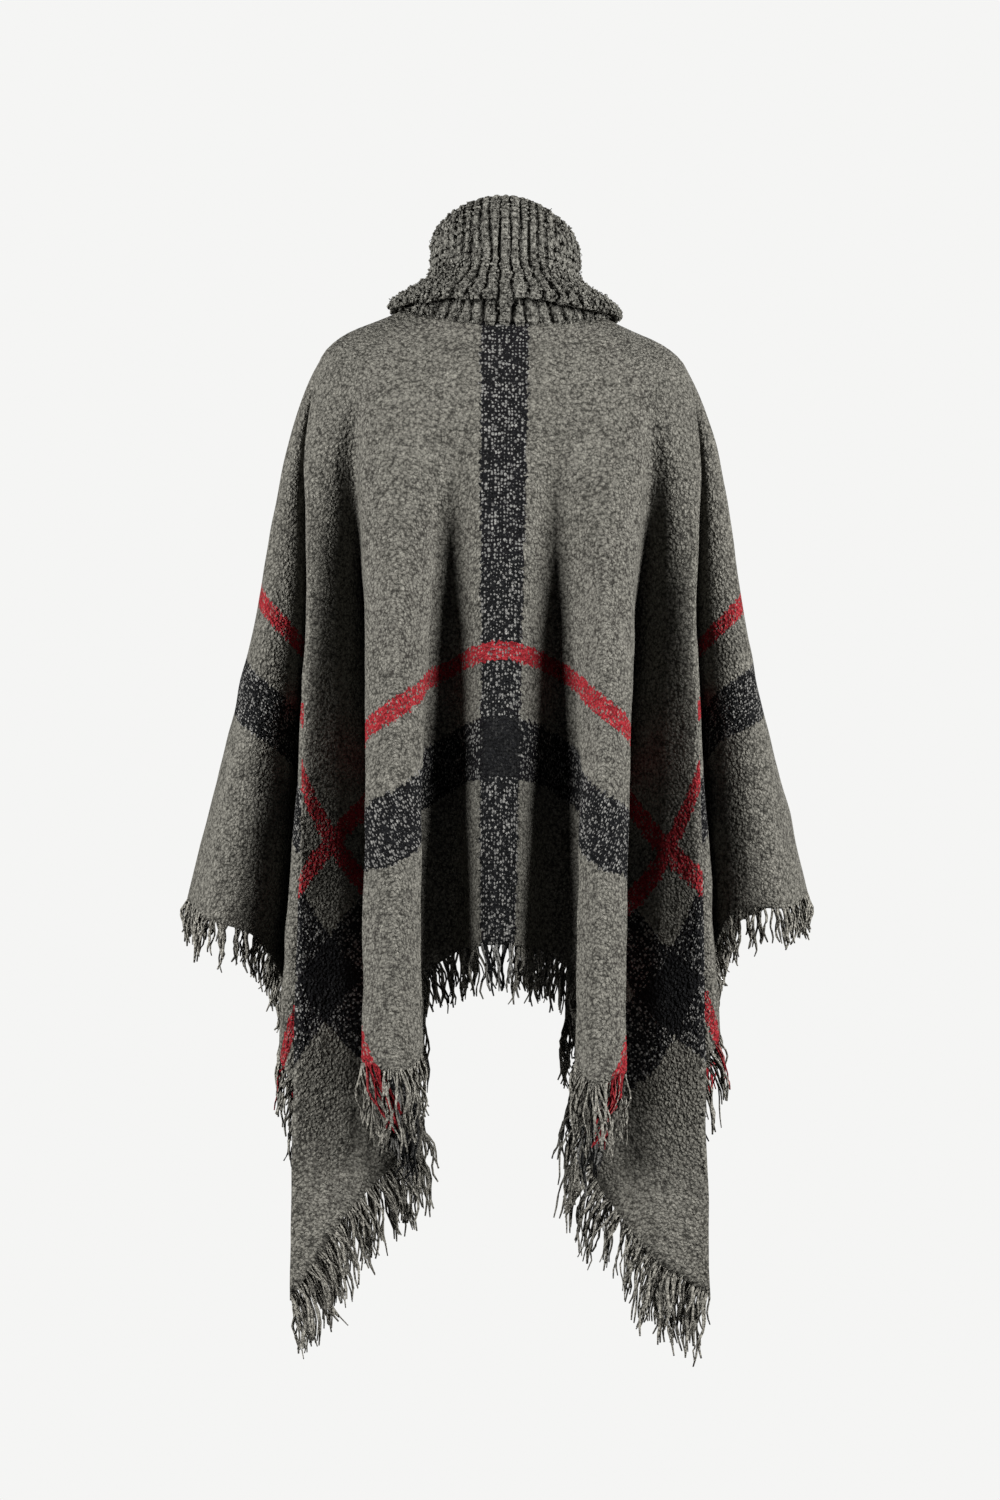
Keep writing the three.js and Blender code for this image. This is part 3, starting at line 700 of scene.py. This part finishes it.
def mix_colour(tree, share, low, high):
    """A colour mix. Each colour is a tuple or a socket to link."""
    node = tree.nodes.new("ShaderNodeMix")
    node.data_type = "RGBA"
    tree.links.new(share, node.inputs["Factor"])
    for socket, value in ((node.inputs[6], low), (node.inputs[7], high)):
        if isinstance(value, tuple):
            socket.default_value = (*value, 1.0)
        else:
            tree.links.new(value, socket)
    return node.outputs[2]


def wobbled(tree, place, scale, amount):
    """Coordinates pushed about by noise, so that rows of yarn aren't straight."""
    bend = tree.nodes.new("ShaderNodeTexNoise")
    bend.inputs["Scale"].default_value = scale
    bend.inputs["Detail"].default_value = 1.0
    tree.links.new(place, bend.inputs["Vector"])
    centred = tree.nodes.new("ShaderNodeVectorMath")
    centred.operation = "SUBTRACT"
    centred.inputs[1].default_value = (0.5, 0.5, 0.5)
    tree.links.new(bend.outputs["Color"], centred.inputs[0])
    scaled = tree.nodes.new("ShaderNodeVectorMath")
    scaled.operation = "SCALE"
    scaled.inputs["Scale"].default_value = amount
    tree.links.new(centred.outputs[0], scaled.inputs[0])
    bent = tree.nodes.new("ShaderNodeVectorMath")
    bent.operation = "ADD"
    tree.links.new(place, bent.inputs[0])
    tree.links.new(scaled.outputs[0], bent.inputs[1])
    return bent.outputs[0]


def yarn_texture_group():
    """Nubby yarn over coordinates in metres: how light each nub is, with painted shade darker in the hollows
    between nubs, and the height of the nubs.
    """
    tree, start, end = new_group(
        "nubby_yarn",
        [("Place", "NodeSocketVector")],
        [("Tone", "NodeSocketFloat"), ("Height", "NodeSocketFloat")],
    )
    place = wobbled(tree, start.outputs["Place"], 260.0, 0.0035)
    nubs = tree.nodes.new("ShaderNodeTexVoronoi")
    nubs.inputs["Scale"].default_value = 325.0
    tree.links.new(place, nubs.inputs["Vector"])
    chance = tree.nodes.new("ShaderNodeSeparateColor")
    tree.links.new(nubs.outputs["Color"], chance.inputs["Color"])
    fine = tree.nodes.new("ShaderNodeTexNoise")
    fine.inputs["Scale"].default_value = 620.0
    fine.inputs["Detail"].default_value = 1.0
    tree.links.new(start.outputs["Place"], fine.inputs["Vector"])
    broad = tree.nodes.new("ShaderNodeTexNoise")
    broad.inputs["Scale"].default_value = 60.0
    broad.inputs["Detail"].default_value = 3.0
    tree.links.new(start.outputs["Place"], broad.inputs["Vector"])

    dome = math_node(tree, "SUBTRACT", 1.0, math_node(tree, "MULTIPLY", nubs.outputs["Distance"], 1.25))
    height = math_node(tree, "ADD", dome, math_node(tree, "MULTIPLY", fine.outputs["Fac"], 0.5))
    cell_tone = math_node(tree, "MULTIPLY", math_node(tree, "SUBTRACT", chance.outputs[1], 0.5), 0.36)
    fine_tone = math_node(tree, "MULTIPLY", math_node(tree, "SUBTRACT", fine.outputs["Fac"], 0.5), 0.9)
    broad_tone = math_node(tree, "MULTIPLY", math_node(tree, "SUBTRACT", broad.outputs["Fac"], 0.5), 0.3)
    # Painted shade: the dome and the fine noise raise both the height and the tone, so the hollows between
    # nubs are darker; the cell tone and the broad noise vary at random
    tone_and_nub_shade = math_node(tree, "ADD", cell_tone, math_node(tree, "MULTIPLY_ADD", dome, 0.62, 0.11))
    tone_and_nub_shade = math_node(tree, "ADD", tone_and_nub_shade, fine_tone)
    tone_and_nub_shade = math_node(tree, "ADD", tone_and_nub_shade, broad_tone)
    clamp = tree.nodes.new("ShaderNodeClamp")
    tree.links.new(tone_and_nub_shade, clamp.inputs["Value"])
    tree.links.new(clamp.outputs[0], end.inputs["Tone"])
    tree.links.new(height, end.inputs["Height"])
    return tree


def fleck_group():
    """Light flecks where the grey yarn shows in a coloured band, one to each crossing of the yarns."""
    tree, start, end = new_group(
        "grey_flecks",
        [("Flat", "NodeSocketVector"), ("Size", "NodeSocketFloat")],
        [("Fleck", "NodeSocketFloat")],
    )
    place = wobbled(tree, start.outputs["Flat"], 330.0, 0.0020)
    stretch = tree.nodes.new("ShaderNodeVectorMath")
    stretch.operation = "MULTIPLY"
    stretch.inputs[1].default_value = (1.0, 0.82, 1.0)
    tree.links.new(place, stretch.inputs[0])
    dots = tree.nodes.new("ShaderNodeTexVoronoi")
    dots.voronoi_dimensions = "2D"
    dots.inputs["Scale"].default_value = 295.0
    dots.inputs["Randomness"].default_value = 0.72
    tree.links.new(stretch.outputs[0], dots.inputs["Vector"])
    chance = tree.nodes.new("ShaderNodeSeparateColor")
    tree.links.new(dots.outputs["Color"], chance.inputs["Color"])
    patchy = tree.nodes.new("ShaderNodeTexNoise")
    patchy.inputs["Scale"].default_value = 55.0
    patchy.inputs["Detail"].default_value = 1.0
    tree.links.new(start.outputs["Flat"], patchy.inputs["Vector"])
    size = math_node(tree, "MULTIPLY", chance.outputs[0], 0.42)
    size = math_node(tree, "ADD", size, math_node(tree, "MULTIPLY_ADD", patchy.outputs["Fac"], 0.34, 0.08))
    size = math_node(tree, "ADD", size, start.outputs["Size"])
    inside = math_node(tree, "SUBTRACT", size, dots.outputs["Distance"])
    soft = tree.nodes.new("ShaderNodeMapRange")
    soft.inputs["From Min"].default_value = -0.03
    soft.inputs["From Max"].default_value = 0.09
    tree.links.new(inside, soft.inputs["Value"])
    tree.links.new(soft.outputs["Result"], end.inputs["Fleck"])
    return tree


def check_group():
    """The check over the flat cut: charcoal bands and red lines, where the bands cross, and their edges."""
    tree, start, end = new_group(
        "woven_check",
        [("Flat", "NodeSocketVector")],
        [("Charcoal", "NodeSocketFloat"), ("Crossing", "NodeSocketFloat"), ("Red", "NodeSocketFloat")],
    )
    ragged = tree.nodes.new("ShaderNodeTexNoise")
    ragged.inputs["Scale"].default_value = 230.0
    ragged.inputs["Detail"].default_value = 0.0
    tree.links.new(start.outputs["Flat"], ragged.inputs["Vector"])
    shift = math_node(tree, "MULTIPLY", math_node(tree, "SUBTRACT", ragged.outputs["Fac"], 0.5), 0.009)
    parts = tree.nodes.new("ShaderNodeSeparateXYZ")
    tree.links.new(start.outputs["Flat"], parts.inputs[0])
    u = math_node(tree, "ADD", math_node(tree, "ABSOLUTE", parts.outputs[0]), shift)
    v = math_node(tree, "ADD", math_node(tree, "ABSOLUTE", parts.outputs[1]), shift)
    centre = math_node(tree, "LESS_THAN", u, CENTRE_BAND)
    band_u = math_node(tree, "COMPARE", u, *CHARCOAL_BAND)
    band_v = math_node(tree, "COMPARE", v, *CHARCOAL_BAND)
    lengthways = math_node(tree, "MAXIMUM", centre, band_u)
    charcoal = math_node(tree, "MAXIMUM", lengthways, band_v)
    crossing = math_node(tree, "MULTIPLY", lengthways, band_v)
    red = math_node(
        tree, "MAXIMUM",
        math_node(tree, "COMPARE", u, *RED_LINE),
        math_node(tree, "COMPARE", v, *RED_LINE),
    )
    tree.links.new(charcoal, end.inputs["Charcoal"])
    tree.links.new(crossing, end.inputs["Crossing"])
    tree.links.new(red, end.inputs["Red"])
    return tree


GREY_DARK = (0.023, 0.0222, 0.0196)
GREY_LIGHT = (0.178, 0.173, 0.153)
KNIT_LIGHT = (0.230, 0.226, 0.203)
# Painted light: the fringe's grey is the cloth's grey yarn made lighter, standing in for light that the
# hanging strands miss
STRAND_DARK_WITH_PAINTED_LIGHT = (0.050, 0.048, 0.042)
STRAND_LIGHT_WITH_PAINTED_LIGHT = (0.30, 0.29, 0.258)
# Painted shade: the dark grey that the collar's grooves are darkened towards
PAINTED_GROOVE_SHADE = (0.022, 0.021, 0.019)
CHARCOAL_DARK = (0.0030, 0.0031, 0.0034)
CHARCOAL_LIGHT = (0.0098, 0.0100, 0.0110)
FLECK_DARK = (0.05, 0.05, 0.05)
FLECK_LIGHT = (0.215, 0.213, 0.202)
RED_DARK = (0.085, 0.006, 0.008)
RED_LIGHT = (0.255, 0.023, 0.029)


def wool(name):
    """A matte wool material with its shader set, ready for colour and bump."""
    material = bpy.data.materials.new(name)
    material.use_nodes = True
    shader = material.node_tree.nodes["Principled BSDF"]
    shader.inputs["Roughness"].default_value = WOOL_ROUGHNESS
    shader.inputs["Specular IOR Level"].default_value = WOOL_SPECULAR
    return material, material.node_tree, shader


def use_group(tree, group):
    """A node that places a group in a material."""
    node = tree.nodes.new("ShaderNodeGroup")
    node.node_tree = group
    return node


def add_bump(tree, shader, height):
    """Bump of the nubs on a wool shader."""
    bump = tree.nodes.new("ShaderNodeBump")
    bump.inputs["Strength"].default_value = 1.0
    bump.inputs["Distance"].default_value = BUMP_DISTANCE
    tree.links.new(height, bump.inputs["Height"])
    tree.links.new(bump.outputs["Normal"], shader.inputs["Normal"])


def check_cloth(name, yarn, check, flecks, by_strand):
    """Check cloth or its loose yarn. By strand, one yarn has one colour from root to tip, in a grey lighter
    than the cloth's: painted light for the hanging strands.
    """
    material, tree, shader = wool(name)
    flat = tree.nodes.new("ShaderNodeUVMap")
    flat.uv_map = "flat_cut"
    place = tree.nodes.new("ShaderNodeTexCoord")
    texture = use_group(tree, yarn)
    tree.links.new(place.outputs["Object"], texture.inputs["Place"])
    bands = use_group(tree, check)
    tree.links.new(flat.outputs["UV"], bands.inputs["Flat"])
    dots = use_group(tree, flecks)
    tree.links.new(flat.outputs["UV"], dots.inputs["Flat"])
    dots.inputs["Size"].default_value = -0.06 if by_strand else -0.20
    tone_and_nub_shade = texture.outputs["Tone"]
    shades = (STRAND_DARK_WITH_PAINTED_LIGHT, STRAND_LIGHT_WITH_PAINTED_LIGHT) if by_strand else (GREY_DARK, GREY_LIGHT)
    grey = mix_colour(tree, tone_and_nub_shade, *shades)
    charcoal = mix_colour(tree, tone_and_nub_shade, CHARCOAL_DARK, CHARCOAL_LIGHT)
    fleck = mix_colour(tree, tone_and_nub_shade, FLECK_DARK, FLECK_LIGHT)
    red = mix_colour(tree, tone_and_nub_shade, RED_DARK, RED_LIGHT)
    closed = math_node(tree, "MULTIPLY", bands.outputs["Crossing"], 0.93)
    open_weave = math_node(tree, "SUBTRACT", 1.0, closed)
    shows = math_node(tree, "MULTIPLY", dots.outputs["Fleck"], open_weave)
    speckled = mix_colour(tree, shows, charcoal, fleck)
    banded = mix_colour(tree, bands.outputs["Charcoal"], grey, speckled)
    few = use_group(tree, flecks)
    tree.links.new(flat.outputs["UV"], few.inputs["Flat"])
    few.inputs["Size"].default_value = -0.23
    covers = math_node(tree, "SUBTRACT", 1.0, math_node(tree, "MULTIPLY", few.outputs["Fleck"], 0.85))
    lined = mix_colour(tree, math_node(tree, "MULTIPLY", bands.outputs["Red"], covers), banded, red)
    tree.links.new(lined, shader.inputs["Base Color"])
    add_bump(tree, shader, texture.outputs["Height"])
    return material


def rib_knit(name, yarn):
    """Plain grey knit of the collar, with painted shade darkening its grooves."""
    material, tree, shader = wool(name)
    place = tree.nodes.new("ShaderNodeTexCoord")
    texture = use_group(tree, yarn)
    tree.links.new(place.outputs["Object"], texture.inputs["Place"])
    grey = mix_colour(tree, texture.outputs["Tone"], GREY_DARK, KNIT_LIGHT)
    groove = tree.nodes.new("ShaderNodeAttribute")
    groove.attribute_name = "groove"
    # Painted shade: the grooves are darkened towards a dark grey, standing in for their shadow
    groove_shade_share = math_node(tree, "MULTIPLY", groove.outputs["Fac"], 0.38)
    knit_with_groove_shade = mix_colour(tree, groove_shade_share, grey, PAINTED_GROOVE_SHADE)
    tree.links.new(knit_with_groove_shade, shader.inputs["Base Color"])
    add_bump(tree, shader, texture.outputs["Height"])
    return material


def area_light(name, place, size, power):
    """A soft light that faces the middle of the garment."""
    lamp = bpy.data.lights.new(name, "AREA")
    lamp.shape = "RECTANGLE"
    lamp.size = size[0]
    lamp.size_y = size[1]
    lamp.energy = power
    lamp.color = LIGHT_COLOUR
    light = bpy.data.objects.new(name, lamp)
    light.location = place
    away = np.array(place) - np.array(LIGHT_TARGET)
    yaw = np.arctan2(away[0], -away[1])
    pitch = np.arctan2(np.hypot(away[0], away[1]), away[2])
    light.rotation_euler = (pitch, 0.0, yaw)
    bpy.context.scene.collection.objects.link(light)


def pale_floor():
    """A floor that looks pale and throws little light up into the folds."""
    material = bpy.data.materials.new("pale_floor")
    material.use_nodes = True
    tree = material.node_tree
    ray = tree.nodes.new("ShaderNodeLightPath")
    colour = mix_colour(tree, ray.outputs["Is Camera Ray"], (0.05, 0.05, 0.05), (0.26, 0.26, 0.257))
    shader = tree.nodes["Principled BSDF"]
    tree.links.new(colour, shader.inputs["Base Color"])
    shader.inputs["Roughness"].default_value = 0.9
    shader.inputs["Specular IOR Level"].default_value = 0.0
    return material


def studio():
    """Pale surroundings, a pale round floor, soft lights, and the camera of the photograph."""
    world = bpy.data.worlds.new("studio")
    bpy.context.scene.world = world
    world.use_nodes = True
    tree = world.node_tree
    tree.nodes.clear()
    output = tree.nodes.new("ShaderNodeOutputWorld")
    seen = tree.nodes.new("ShaderNodeBackground")
    seen.inputs["Color"].default_value = (0.913, 0.913, 0.904, 1.0)
    seen.inputs["Strength"].default_value = 1.0
    lit = tree.nodes.new("ShaderNodeBackground")
    lit.inputs["Color"].default_value = (1.0, 1.0, 1.0, 1.0)
    lit.inputs["Strength"].default_value = 0.012
    ray = tree.nodes.new("ShaderNodeLightPath")
    blend = tree.nodes.new("ShaderNodeMixShader")
    tree.links.new(ray.outputs["Is Camera Ray"], blend.inputs[0])
    tree.links.new(lit.outputs[0], blend.inputs[1])
    tree.links.new(seen.outputs[0], blend.inputs[2])
    tree.links.new(blend.outputs[0], output.inputs["Surface"])

    turns = np.linspace(0, 2 * np.pi, FLOOR_SIDES, endpoint=False)
    rim = FLOOR_RADIUS * np.stack([np.cos(turns), np.sin(turns), turns * 0], axis=-1)
    points = np.concatenate([rim, [[0, 0, 0]]]) + [0, 0, FLOOR_HEIGHT]
    corner = np.arange(FLOOR_SIDES)
    fans = np.stack([corner, np.roll(corner, -1), np.full(FLOOR_SIDES, FLOOR_SIDES)], axis=-1)
    floor = add_mesh("studio_floor", points, [fans], points[:, :2], pale_floor())

    for row in LIGHTS:
        area_light(**dict(zip(LIGHT_COLUMNS, row)))

    bpy.context.scene.view_settings.view_transform = "Standard"
    view = bpy.data.cameras.new("photo_view")
    view.lens = CAMERA_LENS
    view.sensor_width = 36.0
    view.sensor_fit = "AUTO"
    view.clip_end = 50.0
    camera = bpy.data.objects.new("photo_view", view)
    camera.location = CAMERA_PLACE
    camera.rotation_euler = (np.pi / 2, 0.0, 0.0)
    bpy.context.scene.collection.objects.link(camera)
    bpy.context.scene.camera = camera


studio()

yarn = yarn_texture_group()
check = check_group()
flecks = fleck_group()
cloth_material = check_cloth("check_cloth", yarn, check, flecks, by_strand=False)
strand_material = check_cloth("fringe_yarn", yarn, check, flecks, by_strand=True)
knit_material = rib_knit("rib_knit", yarn)

columns, marks = drape()
sag = relief(columns[..., 0], columns[..., 1], SAG)
columns[..., 2:] += surface_normals(columns[..., 2:]) * sag[..., None]
normals = surface_normals(columns[..., 2:])
around = len(columns)
left_arm, right_arm = marks["arm"]
left_back, left_front, right_front, right_back = marks["corner"]

cloth_front = panel("poncho_front", columns, normals, left_arm, right_arm, cloth_material)
cloth_back = panel("poncho_back", columns, normals, right_arm - around, left_arm, cloth_material)
rng = np.random.default_rng(7)
front_nap = nap("front_nap", columns, normals, left_arm, right_arm, rng, cloth_material)
back_nap = nap("back_nap", columns, normals, right_arm - around, left_arm, rng, cloth_material)
edges = {
    "fringe_back": (right_back - around, left_back),
    "fringe_left": (left_back, left_front),
    "fringe_front": (left_front, right_front),
    "fringe_right": (right_front, right_back),
}
for node, (first, last) in edges.items():
    piece = fringe(node + "_yarns", columns, normals, first, last, rng, strand_material)
    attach(piece, "root")
    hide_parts(node)

neck, rib_spots, rib_normals = collar("rolled_collar", knit_material)
neck_nap = collar_nap("collar_nap", rib_spots, rib_normals, rng, knit_material)

for piece in (cloth_front, cloth_back, front_nap, back_nap):
    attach(piece, "root")
for piece in (neck, neck_nap):
    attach(piece, "root")
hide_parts("cloth_front")
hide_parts("cloth_back")
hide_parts("collar")
